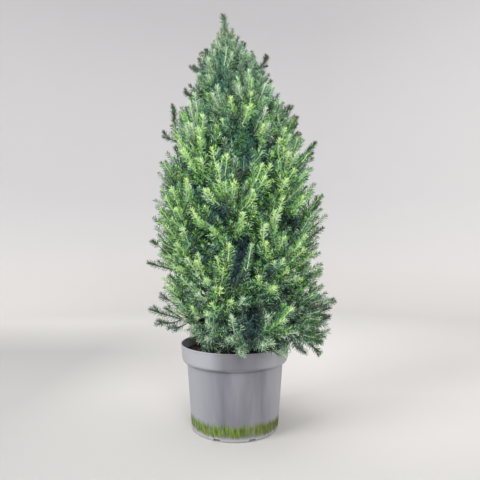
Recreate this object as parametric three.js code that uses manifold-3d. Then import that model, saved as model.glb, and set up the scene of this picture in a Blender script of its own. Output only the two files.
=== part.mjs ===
// A young cone-shaped white spruce in a round grey nursery pot.
// Millimetres, +Z up. The origin is the centre of the pot's flat underside, and the pot stands on Z = 0.
// A thin moulded pot is filled with potting soil. One trunk leans a little and runs up through the crown.
// Boughs leave it all round, rising more steeply towards the top, and each carries one mass of foliage.
// A mass is a stem, a core and twigs with sprays of needles. It keeps to the space nearest its own bough.

import * as THREE from "three";
import { mergeVertices } from "three/addons/utils/BufferGeometryUtils.js";
import Module from "manifold-3d";

const wasm = await Module();
wasm.setup();

// The pot
const POT_HEIGHT = 214;
const RIM_RADIUS = 140.5;
const COLLAR_FOOT_RADIUS = 136;
const COLLAR_HEIGHT = 40;
const BODY_TOP_RADIUS = 123.5;
const BODY_FOOT_RADIUS = 111.5;
const SHOULDER_DROP = 7;
const FOOT_BEVEL = 3;
const WALL = 2;
const LIP_THICKNESS = 3.6;
const LIP_HEIGHT = 4;
const POT_SEGMENTS = 32;
const DRAIN_SLOTS = 8;
const DRAIN_SIZE = { wide: 17, deep: 11, high: 6.5 };

// The soil and the trunk
const SOIL_BELOW_RIM = 22;
const SOIL_LUMPS = 3;
const TRUNK_FOOT_RADIUS = 11.5;
const TRUNK_TIP_RADIUS = 2.6;
const TRUNK_TAPER = 0.9;
const TRUNK_TOP = 945;
const ROOT_FLARE = 6;
const ROOT_FLARE_FADE = 16;
const LEAN_LEFT = 32;
const BOW_RIGHT = 9;
const BOW_BACK = 6;

// The crown's outline: how far it reaches from the trunk at its widest, above that and below that
const TREE_TOP = 1080;
const CROWN_FOOT = 205;
const CROWN_WIDEST = 520;
const CROWN_RADIUS = 226;
const CROWN_TAPER = 1.9;
const CROWN_TUCK = 0.22;
const LOW_REACH_RIGHT = 0.4;
const CROWN_MARGIN = 14;

// The boughs, which end at a share of the way to the crown's surface
const BOUGHS = 24;
const FIRST_BOUGH = 224;
const LAST_BOUGH = 885;
const BOUGH_CLIMB = 1.6;
const LOWEST_TIP = 226;
const HIGHEST_TIP = 990;
const BOUGH_SHARE = 0.4;
const BOUGH_ROOT_RADIUS = 5.2;
const STEM_TIP_RADIUS = 1.4;
const BOUGH_OVER_RIM = 14;
const GOLDEN_ANGLE = THREE.MathUtils.degToRad(137.508);
const FIRST_AZIMUTH = THREE.MathUtils.degToRad(-78);

// The twigs, their sprays of needles and the cores
const TWIG_TIPS = 205;
const TIP_SCATTER = 0.05;
const FORK_BACK = 0.3;
const TWIG_RADIUS = 1.9;
const SHORTEST_TWIG = 30;
const SPRAY_LENGTH = 90;
const SPRAY_WIDTH = 33;
const SPRAY_CORE = 3;
const SPRAY_RINGS = 2;
const CORE_PLACE = 0.62;
const CORE_FILL = 0.6;
const CORE_MOST = 0.2;
const LOWEST_SPRAY = 159;
const GUIDE_STEPS = 20;
const SEED = 7;

// Clearances: touching solids keep GAP, and foliage keeps more from limbs, the pot and its neighbours
const GAP = 0.3;
const STEM_GAP = 0.45;
const LIMB_CLEARANCE = 2.5;
const CELL_CLEARANCE = 3.5;
const POT_CLEARANCE = 5;

const SOIL_TOP = POT_HEIGHT - SOIL_BELOW_RIM;
const COLLAR_FOOT = POT_HEIGHT - COLLAR_HEIGHT;
const LEADER = BOUGHS;
const UP = new THREE.Vector3(0, 0, 1);
const { lerp, clamp } = THREE.MathUtils;

const MATERIALS = {
  pot: new THREE.MeshStandardMaterial({ color: 0xa9a8af, roughness: 0.5, metalness: 0 }),
  soil: new THREE.MeshStandardMaterial({ color: 0x2e211b, roughness: 0.95, metalness: 0 }),
  bark: new THREE.MeshStandardMaterial({ color: 0x7d6a56, roughness: 0.85, metalness: 0 }),
  foliage: new THREE.MeshStandardMaterial({ color: 0x4f8a3e, roughness: 0.6, metalness: 0 }),
};

// A repeatable number from -1 to 1 for a pair of whole numbers
function scatter(i, j) {
  const s = Math.sin((i + 1) * 12.9898 + (j + 1) * 78.233 + SEED * 3.7) * 43758.5453;
  return 2 * (s - Math.floor(s)) - 1;
}

// A closed geometry as a solid: shared corners merged, only positions kept
function solidOf(geometry) {
  const bare = new THREE.BufferGeometry();
  bare.setAttribute("position", geometry.getAttribute("position"));
  bare.setIndex(geometry.index);
  const merged = mergeVertices(bare, 1e-4);
  return new wasm.Manifold(
    new wasm.Mesh({
      numProp: 3,
      vertProperties: new Float32Array(merged.attributes.position.array),
      triVerts: new Uint32Array(merged.index.array),
    }),
  );
}

// A solid as a geometry that a mesh can hold
function geometryOf(solid) {
  const mesh = solid.getMesh();
  const geometry = new THREE.BufferGeometry();
  geometry.setAttribute("position", new THREE.BufferAttribute(mesh.vertProperties, 3));
  geometry.setIndex(new THREE.BufferAttribute(mesh.triVerts, 1));
  geometry.computeVertexNormals();
  return geometry;
}

// The trunk's centreline at a height: a slight bow, then a lean to the left near the top
function trunkAt(z) {
  const u = (z - SOIL_TOP) / (TREE_TOP - SOIL_TOP);
  const x = BOW_RIGHT * Math.sin(Math.PI * u) - LEAN_LEFT * u ** 4;
  const y = BOW_BACK * Math.sin(1.4 * Math.PI * u);
  return new THREE.Vector3(x, y, z);
}

function trunkRadius(z) {
  const u = (z - SOIL_TOP) / (TRUNK_TOP - SOIL_TOP);
  return lerp(TRUNK_FOOT_RADIUS, TRUNK_TIP_RADIUS, u ** TRUNK_TAPER);
}

// How far the crown reaches from the trunk at a height and an azimuth
function crownReach(z, azimuth) {
  if (z > CROWN_WIDEST) {
    const t = Math.min(1, (z - CROWN_WIDEST) / (TREE_TOP - CROWN_WIDEST));
    return CROWN_RADIUS * (1 - t ** CROWN_TAPER);
  }
  const t = Math.min(1, (CROWN_WIDEST - z) / (CROWN_WIDEST - CROWN_FOOT));
  const fuller = 1 + LOW_REACH_RIGHT * Math.cos(azimuth) * t * t;
  return CROWN_RADIUS * (1 - CROWN_TUCK * t ** 3) * fuller;
}

// The height from `foot` to `top` below which a share of the crown's surface lies, to spread tips evenly
function heightAtShare(share, foot, top) {
  const steps = 200;
  const heights = [];
  for (let i = 0; i <= steps; i++) heights.push(lerp(foot, top, i / steps));
  const sums = [0];
  for (let i = 1; i <= steps; i++) sums.push(sums[i - 1] + crownReach(heights[i], Math.PI / 2));
  return heights[sums.findIndex((sum) => sum >= share * sums[steps])];
}

// A point at a share of the crown's reach
function crownPoint(height, azimuth, share) {
  const outward = new THREE.Vector3(Math.cos(azimuth), Math.sin(azimuth), 0);
  return trunkAt(height).addScaledVector(outward, share * crownReach(height, azimuth));
}

// A bough's whole line from the trunk to the crown's surface. Its first part is the bough, the rest a mass.
function guideLine(i) {
  const azimuth = FIRST_AZIMUTH + i * GOLDEN_ANGLE + 0.16 * scatter(i, 1);
  const tipHeight = heightAtShare((i + 0.5) / BOUGHS, LOWEST_TIP, HIGHEST_TIP);
  const climb = (tipHeight - LOWEST_TIP) / (HIGHEST_TIP - LOWEST_TIP);
  const root = trunkAt(lerp(FIRST_BOUGH, LAST_BOUGH, climb ** BOUGH_CLIMB));
  const tip = crownPoint(tipHeight, azimuth, 1 + TIP_SCATTER * scatter(i, 2));
  const bend = root.clone().lerp(crownPoint(tipHeight, azimuth, 1.2), 0.5);
  bend.addScaledVector(UP, -0.1 * Math.abs(tip.z - root.z));
  bend.z = Math.max(bend.z, POT_HEIGHT + BOUGH_OVER_RIM);
  return new THREE.QuadraticBezierCurve3(root, bend, tip);
}

// The leader goes on from the trunk's cut top to the tree's tip
function leaderLine() {
  const root = trunkAt(TRUNK_TOP + STEM_GAP);
  const tip = trunkAt(TREE_TOP);
  return new THREE.QuadraticBezierCurve3(root, root.clone().lerp(tip, 0.5), tip);
}

const guides = [];
for (let i = 0; i < BOUGHS; i++) guides.push(guideLine(i));
guides.push(leaderLine());
const guidePoints = guides.map((line) => line.getSpacedPoints(GUIDE_STEPS));

const nearest = new THREE.Vector3();
const segment = new THREE.Line3();

// The distance from a point to a chain of points, over its first `count` segments
function distanceTo(points, p, count = points.length - 1) {
  let best = Infinity;
  for (let s = 0; s < count; s++) {
    segment.set(points[s], points[s + 1]).closestPointToPoint(p, true, nearest);
    best = Math.min(best, nearest.distanceTo(p));
  }
  return best;
}

// Twig tips spread evenly over the crown, each given to the mass whose guide is nearest
const tipsOf = guides.map(() => []);
for (let n = 0; n < TWIG_TIPS; n++) {
  const height = heightAtShare((n + 0.5) / TWIG_TIPS, CROWN_FOOT, TREE_TOP - 20);
  const tip = crownPoint(height, n * GOLDEN_ANGLE, 1 + TIP_SCATTER * scatter(n, 3));
  const distances = guidePoints.map((points) => distanceTo(points, tip));
  tipsOf[distances.indexOf(Math.min(...distances))].push(tip);
}

// The radius of a bough, and of its mass's stem, at a share of the guide
function boughRadius(i, share) {
  if (i === LEADER) return lerp(TRUNK_TIP_RADIUS, STEM_TIP_RADIUS, share);
  return lerp(BOUGH_ROOT_RADIUS * (1 - (0.55 * i) / BOUGHS), STEM_TIP_RADIUS, share);
}

// Where a guide's bough ends and its mass begins
function massStart(i) {
  return i === LEADER ? 0 : BOUGH_SHARE;
}

// Whether a point lies in the crown and clear of the trunk, the pot and the soil
function inOpenCrown(p) {
  const axis = trunkAt(Math.min(p.z, TREE_TOP));
  const fromTrunk = Math.hypot(p.x - axis.x, p.y - axis.y);
  const azimuth = Math.atan2(p.y - axis.y, p.x - axis.x);
  if (p.z > TREE_TOP || p.z < LOWEST_SPRAY) return false;
  if (fromTrunk > crownReach(p.z, azimuth) * (1 + TIP_SCATTER) + CROWN_MARGIN) return false;
  if (p.z < TRUNK_TOP + LIMB_CLEARANCE && fromTrunk < trunkRadius(p.z) + LIMB_CLEARANCE) return false;
  const fromAxis = Math.hypot(p.x, p.y);
  const besidePot = fromAxis > RIM_RADIUS + POT_CLEARANCE;
  const overPot = p.z > POT_HEIGHT + POT_CLEARANCE;
  const overSoil = fromAxis < COLLAR_FOOT_RADIUS - 2 * POT_CLEARANCE && p.z > SOIL_TOP + 2 * POT_CLEARANCE;
  return besidePot || overPot || overSoil;
}

// Whether a point may hold foliage of mass i: nearer its own guide than any other, and clear of every bough
function mayHold(i, p) {
  if (!inOpenCrown(p)) return false;
  const ownBough = Math.round(massStart(i) * GUIDE_STEPS);
  const offBough = ownBough ? distanceTo(guidePoints[i], p, ownBough) : Infinity;
  if (offBough < boughRadius(i, 0.3) + LIMB_CLEARANCE) return false;
  const own = distanceTo(guidePoints[i], p);
  return guidePoints.every((points, j) => {
    const other = j === i ? Infinity : distanceTo(points, p);
    return other > own + CELL_CLEARANCE && other > boughRadius(j, 0) + LIMB_CLEARANCE;
  });
}

// Whether the corners of a geometry, and points along its edges, may hold foliage of mass i
function fits(i, geometry) {
  const position = geometry.getAttribute("position");
  const index = geometry.index;
  const a = new THREE.Vector3();
  const b = new THREE.Vector3();
  for (let k = 0; k < index.count; k++) {
    a.fromBufferAttribute(position, index.getX(k));
    const next = k % 3 === 2 ? k - 2 : k + 1;
    b.fromBufferAttribute(position, index.getX(next));
    if (![0, 0.25, 0.5, 0.75].every((share) => mayHold(i, a.clone().lerp(b, share)))) return false;
  }
  return true;
}

// Bends a cylinder along a curve from one share of it to another, with the radius that radiusAt gives
function limb(curve, from, to, sides, steps, radiusAt) {
  const geometry = new THREE.CylinderGeometry(1, 1, 1, sides, steps);
  const frameCount = 32;
  const frames = curve.computeFrenetFrames(frameCount);
  const position = geometry.getAttribute("position");
  for (let k = 0; k < position.count; k++) {
    const t = lerp(from, to, position.getY(k) + 0.5);
    const frame = Math.round(t * frameCount);
    const p = curve.getPointAt(t);
    p.addScaledVector(frames.normals[frame], position.getZ(k) * radiusAt(t));
    p.addScaledVector(frames.binormals[frame], position.getX(k) * radiusAt(t));
    position.setXYZ(k, p.x, p.y, p.z);
  }
  return geometry;
}

// A ring-shaped outline of radius and height pairs, turned round the pot's axis
function turned(outline) {
  const profile = outline.map(([r, z]) => new THREE.Vector2(r, z));
  return new THREE.LatheGeometry(profile, POT_SEGMENTS).rotateX(Math.PI / 2);
}

// The pot: a tapered body, a shoulder, a collar with a lip, a thin wall, and drain slots round the foot
function potSolid() {
  const floor = FOOT_BEVEL + WALL;
  const shell = turned([
    [0, 0],
    [BODY_FOOT_RADIUS - FOOT_BEVEL, 0],
    [BODY_FOOT_RADIUS, FOOT_BEVEL],
    [BODY_TOP_RADIUS, COLLAR_FOOT - SHOULDER_DROP],
    [COLLAR_FOOT_RADIUS - 4, COLLAR_FOOT - 4],
    [COLLAR_FOOT_RADIUS, COLLAR_FOOT + 2],
    [RIM_RADIUS - 1.2, POT_HEIGHT - LIP_HEIGHT],
    [RIM_RADIUS, POT_HEIGHT - LIP_HEIGHT + 1],
    [RIM_RADIUS, POT_HEIGHT - 1],
    [RIM_RADIUS - 1, POT_HEIGHT],
    [RIM_RADIUS - LIP_THICKNESS, POT_HEIGHT],
    [COLLAR_FOOT_RADIUS - WALL, COLLAR_FOOT + 3],
    [COLLAR_FOOT_RADIUS - 5 - WALL, COLLAR_FOOT - 2],
    [BODY_TOP_RADIUS - WALL, COLLAR_FOOT - SHOULDER_DROP + 1],
    [BODY_FOOT_RADIUS - WALL, floor],
    [0, floor],
  ]);
  let pot = solidOf(shell);
  for (let k = 0; k < DRAIN_SLOTS; k++) {
    const slot = new THREE.BoxGeometry(DRAIN_SIZE.deep, DRAIN_SIZE.wide, 2 * DRAIN_SIZE.high);
    slot.translate(BODY_FOOT_RADIUS, 0, 0).rotateZ(((k + 0.5) * 2 * Math.PI) / DRAIN_SLOTS);
    pot = pot.subtract(solidOf(slot));
  }
  return pot;
}

// The soil fills the pot up to a little under the rim. Its top is uneven, but flat round the trunk.
function soilSolid() {
  const inset = GAP + 0.1;
  const flat = 3 * TRUNK_FOOT_RADIUS;
  const slope = (RIM_RADIUS - LIP_THICKNESS - COLLAR_FOOT_RADIUS + WALL) / (COLLAR_HEIGHT - 3);
  const edge = COLLAR_FOOT_RADIUS - WALL + slope * (SOIL_TOP - COLLAR_FOOT - 3);
  const geometry = turned([
    [0, FOOT_BEVEL + WALL + GAP],
    [BODY_FOOT_RADIUS - WALL - inset - 0.1, FOOT_BEVEL + WALL + GAP],
    [BODY_TOP_RADIUS - WALL - inset, COLLAR_FOOT - SHOULDER_DROP + 1],
    [COLLAR_FOOT_RADIUS - 5 - WALL - inset, COLLAR_FOOT - 2],
    [COLLAR_FOOT_RADIUS - WALL - inset, COLLAR_FOOT + 3],
    [edge - inset, SOIL_TOP],
    [edge * 0.72, SOIL_TOP],
    [edge * 0.45, SOIL_TOP],
    [flat, SOIL_TOP],
    [0, SOIL_TOP],
  ]);
  const position = geometry.getAttribute("position");
  for (let k = 0; k < position.count; k++) {
    const x = position.getX(k);
    const y = position.getY(k);
    const lumpy = Math.hypot(x, y) > flat + 1 && position.getZ(k) > SOIL_TOP - 1;
    const lump = scatter(Math.round(x), Math.round(y));
    if (lumpy) position.setZ(k, SOIL_TOP + SOIL_LUMPS * 0.5 * (lump - 1));
  }
  return solidOf(geometry);
}

// The trunk from its flat cut on the soil to its tip, with a lobed root flare. `grown` makes it fatter.
function trunkSolid(grown = 0) {
  const foot = SOIL_TOP + GAP;
  const geometry = new THREE.CylinderGeometry(1, 1, 1, 8, 16);
  const position = geometry.getAttribute("position");
  for (let k = 0; k < position.count; k++) {
    const p = trunkAt(lerp(foot, TRUNK_TOP, (position.getY(k) + 0.5) ** 1.6));
    const angle = Math.atan2(position.getZ(k), position.getX(k));
    const lobes = 1 + 0.35 * Math.cos(4 * angle + 0.6);
    const flare = ROOT_FLARE * Math.exp((foot - p.z) / ROOT_FLARE_FADE) * lobes;
    const off = Math.hypot(position.getX(k), position.getZ(k));
    const radius = off * (trunkRadius(p.z) + flare + grown);
    position.setXYZ(k, p.x + radius * Math.cos(angle), p.y - radius * Math.sin(angle), p.z);
  }
  return solidOf(geometry);
}

// A bough: the first part of a guide, cut clear of the trunk
function boughSolid(i, trunk) {
  return solidOf(limb(guides[i], 0, BOUGH_SHARE, 5, 3, (share) => boughRadius(i, share))).subtract(trunk);
}

// A twig with its spray of needles: a slim four-sided cone whose corners stand out in turn as teeth
function twigGeometry(start, direction, bare, spray, turn) {
  const steps = SPRAY_RINGS + 1;
  const geometry = new THREE.ConeGeometry(1, 1, 4, steps);
  const position = geometry.getAttribute("position");
  const toDirection = new THREE.Quaternion().setFromUnitVectors(UP, direction);
  const width = Math.min(SPRAY_WIDTH, 0.5 * spray);
  for (let k = 0; k < position.count; k++) {
    const ring = Math.round((position.getY(k) + 0.5) * steps);
    const angle = Math.atan2(position.getX(k), position.getZ(k));
    const corner = (Math.round((angle / Math.PI) * 2) + 4) % 4;
    const onAxis = Math.hypot(position.getX(k), position.getZ(k)) < 1e-6;
    const tooth = ring > 0 && ring < steps && (corner + ring) % 2 === 0;
    let radius = ring === 0 ? TWIG_RADIUS : SPRAY_CORE;
    let along = ring === 0 ? 0 : bare + (spray * (ring - 0.7)) / (steps - 0.7);
    if (tooth) {
      radius = 0.5 * width * (1.15 - (0.5 * ring) / steps);
      along += 0.3 * width;
    }
    if (onAxis) radius = 0;
    const p = new THREE.Vector3(radius * Math.cos(angle + turn), radius * Math.sin(angle + turn), along);
    p.applyQuaternion(toDirection).add(start);
    position.setXYZ(k, p.x, p.y, p.z);
  }
  return geometry;
}

// A twig towards a tip, tried shorter and shorter until it fits in mass i: a list of one solid or none
function twigFor(i, start, tip, turn) {
  const direction = tip.clone().sub(start);
  const whole = direction.length();
  direction.normalize();
  for (let length = whole; length > SHORTEST_TWIG; length *= 0.9) {
    const spray = Math.min(SPRAY_LENGTH, 0.85 * length);
    const twig = twigGeometry(start, direction, length - spray, spray, turn);
    if (fits(i, twig)) return [solidOf(twig)];
  }
  return [];
}

// How far the space of mass i reaches from a point in a direction
function roomAlong(i, from, direction, most) {
  const step = 5;
  const p = new THREE.Vector3();
  let room = 0;
  while (room < most && mayHold(i, p.copy(from).addScaledVector(direction, room + step))) room += step;
  return room;
}

// The dense middle of a mass, shrunk until it fits: a ball with corners drawn part of the way to its edge
function coreFor(i) {
  const middle = guides[i].getPointAt(CORE_PLACE);
  const ball = new THREE.IcosahedronGeometry(1, 0).deleteAttribute("normal").deleteAttribute("uv");
  const core = mergeVertices(ball, 1e-4);
  const position = core.getAttribute("position");
  const corners = [];
  for (let k = 0; k < position.count; k++) {
    const direction = new THREE.Vector3().fromBufferAttribute(position, k).normalize();
    const room = roomAlong(i, middle, direction, CORE_MOST * guides[i].getLength());
    corners.push(direction.multiplyScalar(CORE_FILL * room * (1 + 0.2 * scatter(i, k))));
  }
  for (let size = 1; size > 0.3; size *= 0.9) {
    corners.forEach((corner, k) => {
      const p = middle.clone().addScaledVector(corner, size);
      position.setXYZ(k, p.x, p.y, p.z);
    });
    if (fits(i, core)) return [solidOf(core)];
  }
  return [];
}

// One mass of foliage: its stem, a twig at the stem's end, a twig to each of the mass's tips, and a core
function massSolid(i) {
  const line = guides[i];
  const length = line.getLength();
  const from = massStart(i) + (i === LEADER ? 0 : STEM_GAP / length);
  const endSpray = Math.min(SPRAY_LENGTH, 0.46 * length);
  const stemEnd = 1 - (0.8 * endSpray) / length;
  const stem = limb(line, from, stemEnd, 4, 2, (share) => boughRadius(i, share));
  const parts = [solidOf(stem), ...twigFor(i, line.getPointAt(1 - endSpray / length), line.getPointAt(1), 0)];
  tipsOf[i].forEach((tip, k) => {
    const distances = guidePoints[i].map((point) => point.distanceTo(tip));
    const nearestShare = distances.indexOf(Math.min(...distances)) / GUIDE_STEPS;
    const share = clamp(nearestShare - FORK_BACK, from + 0.04, stemEnd - 0.02);
    parts.push(...twigFor(i, line.getPointAt(share), tip, k + i));
  });
  if (i !== LEADER) parts.push(...coreFor(i));
  const whole = parts.reduce((all, next) => all.add(next)).decompose();
  return whole.reduce((best, next) => (next.volume() > best.volume() ? next : best));
}

const spruce = new THREE.Group();

function addNode(name, solid, material) {
  const mesh = new THREE.Mesh(geometryOf(solid), material);
  mesh.name = name;
  spruce.add(mesh);
}

addNode("pot", potSolid(), MATERIALS.pot);
addNode("soil", soilSolid(), MATERIALS.soil);
addNode("trunk", trunkSolid(), MATERIALS.bark);

const clearOfTrunk = trunkSolid(GAP + 0.05);
for (let i = 0; i < BOUGHS; i++) {
  const number = String(i + 1).padStart(2, "0");
  addNode(`bough_${number}`, boughSolid(i, clearOfTrunk), MATERIALS.bark);
  addNode(`foliage_${number}`, massSolid(i), MATERIALS.foliage);
}
addNode("foliage_top", massSolid(LEADER), MATERIALS.foliage);

export default spruce;
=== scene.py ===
"""The looks of a young cone-shaped white spruce in a round grey nursery pot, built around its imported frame.

Metres, +Z up, in the frame's own axes. Boughs, twigs and shoots grow by the rule that the frame's foliage
follows, carried on to finer shoots inside the same crown, and every shoot is set with needles.
"""
import math

import bpy
import numpy as np
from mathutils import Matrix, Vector, noise


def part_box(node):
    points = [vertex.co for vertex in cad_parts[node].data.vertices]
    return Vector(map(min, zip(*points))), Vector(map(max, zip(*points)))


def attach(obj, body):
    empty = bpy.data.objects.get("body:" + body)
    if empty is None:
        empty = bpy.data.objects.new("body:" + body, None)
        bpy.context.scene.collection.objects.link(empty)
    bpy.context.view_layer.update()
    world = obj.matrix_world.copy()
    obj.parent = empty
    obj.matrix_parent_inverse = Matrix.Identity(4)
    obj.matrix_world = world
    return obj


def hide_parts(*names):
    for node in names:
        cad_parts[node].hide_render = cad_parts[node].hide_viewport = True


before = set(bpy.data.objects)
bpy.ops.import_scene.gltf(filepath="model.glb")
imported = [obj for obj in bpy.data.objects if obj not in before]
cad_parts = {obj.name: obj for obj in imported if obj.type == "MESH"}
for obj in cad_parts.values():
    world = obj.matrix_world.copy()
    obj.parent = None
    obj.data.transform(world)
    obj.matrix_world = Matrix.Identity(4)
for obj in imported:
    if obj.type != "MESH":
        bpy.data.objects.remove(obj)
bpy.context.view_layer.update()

# Places read from the frame
POT_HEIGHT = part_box("pot")[1].z
RIM_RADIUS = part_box("pot")[1].x
TRUNK_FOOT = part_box("trunk")[0].z
TRUNK_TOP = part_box("trunk")[1].z
BOUGH_NODES = sorted(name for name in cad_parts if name.startswith("bough_"))
FOLIAGE_NODES = sorted(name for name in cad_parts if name.startswith("foliage_"))
BOUGHS = len(BOUGH_NODES)

# The pot, as in the frame
GAP = 0.0003
COLLAR_FOOT_RADIUS = 0.136
COLLAR_HEIGHT = 0.040
BODY_TOP_RADIUS = 0.1235
BODY_FOOT_RADIUS = 0.1115
SHOULDER_DROP = 0.007
FOOT_BEVEL = 0.003
WALL = 0.002
LIP_THICKNESS = 0.0036
LIP_HEIGHT = 0.004
DRAIN_SLOTS = 8
COLLAR_FOOT = POT_HEIGHT - COLLAR_HEIGHT
FLOOR = FOOT_BEVEL + WALL

# The inner wall from its foot to the collar's, as radius and height
INNER_WALL = [
    (BODY_FOOT_RADIUS - WALL, FLOOR),
    (BODY_TOP_RADIUS - WALL, COLLAR_FOOT - SHOULDER_DROP + 0.001),
    (COLLAR_FOOT_RADIUS - 0.005 - WALL, COLLAR_FOOT - 0.002),
    (COLLAR_FOOT_RADIUS - WALL, COLLAR_FOOT + 0.003),
]

# What only the visual pot and soil have
POT_SEGMENTS = 192
BEND_STEPS = 5
SHARP_ANGLE = math.radians(40)
SLOT_CUTTER = (0.026, 0.017, 0.013)
ALGAE_TOP = 0.039
ALGAE_FOOT = 0.012
ALGAE_SWAY = 0.012
ALGAE_FRAY = 0.009
# Painted reflection across the collar: greys from its left to its right, lighter at the sides, darker in the
# middle
COLLAR_PAINTED_SHEEN = [
    (0.08, (154, 155, 161)), (0.26, (147, 148, 154)), (0.39, (103, 104, 110)),
    (0.56, (92, 93, 99)), (0.7, (108, 109, 115)), (0.9, (158, 159, 165)),
]
SOIL_INSET = 0.0004
SOIL_SEGMENTS = 120
SOIL_RINGS = 44
CLODS = 900

# The trunk and the crown's outline, as in the frame
SOIL_TOP = TRUNK_FOOT - GAP
TRUNK_FOOT_RADIUS = 0.0115
TRUNK_TIP_RADIUS = 0.0026
TRUNK_TAPER = 0.9
ROOT_FLARE = 0.006
ROOT_FLARE_FADE = 0.016
LEAN_LEFT = 0.032
BOW_RIGHT = 0.009
BOW_BACK = 0.006
TREE_TOP = 1.08
CROWN_FOOT = 0.205
CROWN_WIDEST = 0.52
CROWN_RADIUS = 0.226
CROWN_TAPER = 1.9
CROWN_TUCK = 0.22
LOW_REACH_RIGHT = 0.4

# The boughs and the tips of the long twigs, as in the frame
FIRST_BOUGH = 0.224
LAST_BOUGH = 0.885
BOUGH_CLIMB = 1.6
LOWEST_TIP = 0.226
HIGHEST_TIP = 0.99
BOUGH_SHARE = 0.4
BOUGH_ROOT_RADIUS = 0.0052
STEM_TIP_RADIUS = 0.0014
BOUGH_OVER_RIM = 0.014
GOLDEN_ANGLE = math.radians(137.508)
FIRST_AZIMUTH = math.radians(-78)
TWIG_TIPS = 205
TIP_SCATTER = 0.05
FORK_BACK = 0.3
GUIDE_STEPS = 20
SEED = 7
LOWEST_SPRAY = 0.159
POT_CLEARANCE = 0.005
LIMB_CLEARANCE = 0.0025

# The finer growth, which only the visual model has
LEADER_NEEDLES = 0.008
TWIG_RADII = (0.0015, 0.0014)
LOW_SIDE = 0.12
OVER_RIM = 0.012
SHOOT_ROOM = 0.003
NEEDLES_CLEAR = (0.001, 0.004, 0.002)
TOP_OPEN = 0.008
TOP_TIPS = 36
LAST_FORK = 0.78
FORK_UNDER = 0.05
ARRIVAL = 0.45
STRAY_SPARE = 0.08
WANDER = 0.1
INNER_WANDER = 0.3
LOW_TURN = 0.45
CANDLE = 0.06
BRANCHED = 0.12
SHOOT_SPACING = 0.038
UNDER_SPACING = 0.036
INNER_SPACING = 0.024
SHOOT_ANGLE = math.radians(42)
SHOOT_RADII = (0.0009, 0.0006)
LONGEST_SHOOT = 0.046
SHORTEST_SHOOT = 0.022
NEEDLE_LENGTH = 0.0115
NEEDLE_WIDTH = 0.0022
NEEDLES_PER_METRE = 680
INNER_NEEDLE_LENGTH = 0.0140
INNER_NEEDLE_WIDTH = 0.0026
INNER_PER_METRE = 480
CLOSED_TIP = 0.009
OPEN_NEEDLES = 62
CLOSED_NEEDLES = 30
INNER_DEPTH = 0.7
TOP_DEPTH = 0.14
FIT_ROUNDS = 6
FIT_CHECKS = (0.35, 0.7, 1.0)
FIT_SHORTER = 0.85

# Tips over the whole crown: how many, their lowest and highest, their turn round the trunk, their share of
# the crown's reach, and that share's scatter and its stream
FRAME_TIPS = (TWIG_TIPS, CROWN_FOOT, TREE_TOP - 0.02, 0, 1, TIP_SCATTER, 3)
SURFACE_TIPS = (330, CROWN_FOOT, TREE_TOP - 0.03, 2, 0.95, 0.07, 5)
UNDER_TIPS = (960, CROWN_FOOT, TREE_TOP - 0.06, 4, 0.8, 0.09, 7)
INNER_TIPS = (1100, CROWN_FOOT + 0.02, TREE_TOP - 0.12, 1, 0.45, 0.28, 4)

# Shoots rise by these degrees at these heights, and at the crown's sides by up to LEAN_OUT degrees less
RISE_HEIGHTS = (0.17, 0.205, 0.24, 0.3, 0.4, 0.55, 0.75, 1.05)
RISE_ANGLES = (-45, -15, 15, 36, 50, 60, 68, 76)
LEAN_OUT = 20
LEAN_OUT_HEIGHTS = (0.26, 0.36, 0.7, 0.95)

# Heights between which the crown changes, from the first to the second
LOW_TURN_AT = (0.42, 0.27)
LOW_CROWN = (0.42, 0.22)
UPPER_CROWN = (0.45, 0.7)
HIGH_CROWN = (0.62, 0.9)
TOP_OPEN_AT = (0.8, 0.9)
LEADER_AT = (0.97, 1.03)

# The camera
CAMERA_AT = (0.013, -1.129, 0.449)
TILT_UP = 1.53
LENS = 32.25
SENSOR = 36

# What the camera shows of single places, in millimetres, as x and z where the line of sight meets the plane
# y = 0: tips that stand out, and ovals, with half their width and height, of deep shade, shade and open gaps
STRAY_TIPS = np.array([
    (-222, 298), (-181, 302), (-190, 340), (-224, 421), (-214, 477), (-190, 768),
    (-206, 266), (-178, 246), (250, 278), (223, 186),
    (-164, 832), (-130, 864), (-108, 934), (-95, 957), (-79, 987), (-61, 1006),
    (26, 1011), (45, 984), (86, 966), (142, 830), (162, 798), (209, 732), (204, 708), (231, 598),
    (234, 512), (262, 322), (250, 300), (232, 238), (222, 212), (182, 190),
]) / 1000
HOLLOWS = np.array([
    (-34, 925, 12, 55), (3, 770, 12, 24), (42, 762, 15, 38),
    (29, 690, 18, 32), (-34, 553, 20, 26), (21, 458, 18, 34),
    (150, 527, 16, 16), (3, 382, 16, 30), (45, 255, 24, 50),
]) / 1000
SHADED = np.array([
    (-60, 527, 10, 20), (-28, 650, 10, 26),
    (0, 244, 14, 16), (10, 425, 12, 34), (-40, 895, 14, 36),
    (88, 868, 12, 16), (60, 610, 10, 18), (-105, 610, 10, 18),
    (96, 395, 12, 20), (-90, 430, 10, 18), (-20, 795, 8, 20),
]) / 1000
WINDOWS = np.array([
    (-82, 344, 8, 14), (-21, 306, 7, 7), (-84, 267, 7, 10),
    (-124, 254, 12, 8), (-134, 280, 14, 8), (-197, 463, 6, 8),
]) / 1000
# The shares of an oval's size at which its shade starts and is full, and how far back it reaches
SHADE_EDGE = (1.375, 0.75)
SHADE_BACK = 0.03

# The materials' noise and the studio
NOISE_ROUGHNESS = 0.55
SWEEP_FLAT = 2.2
SWEEP_BEND = 1.2
SWEEP_HIGH = 4.0
SWEEP_STEPS = 12
LIGHT_TARGET = (0, 0, 0.5)
LIGHTS = [
    ("key", (-2.4, -1.6, 2.1), 1.6, 88),
    ("front", (0.5, -2.7, 1.7), 1.5, 66),
    ("top", (0.1, 0.2, 3.1), 1.8, 30),
]

UP = np.array([0.0, 0.0, 1.0])
rng = np.random.default_rng(SEED)


def lerp(a, b, share):
    """The value at a share of the way from a to b."""
    return a + (b - a) * share


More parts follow.
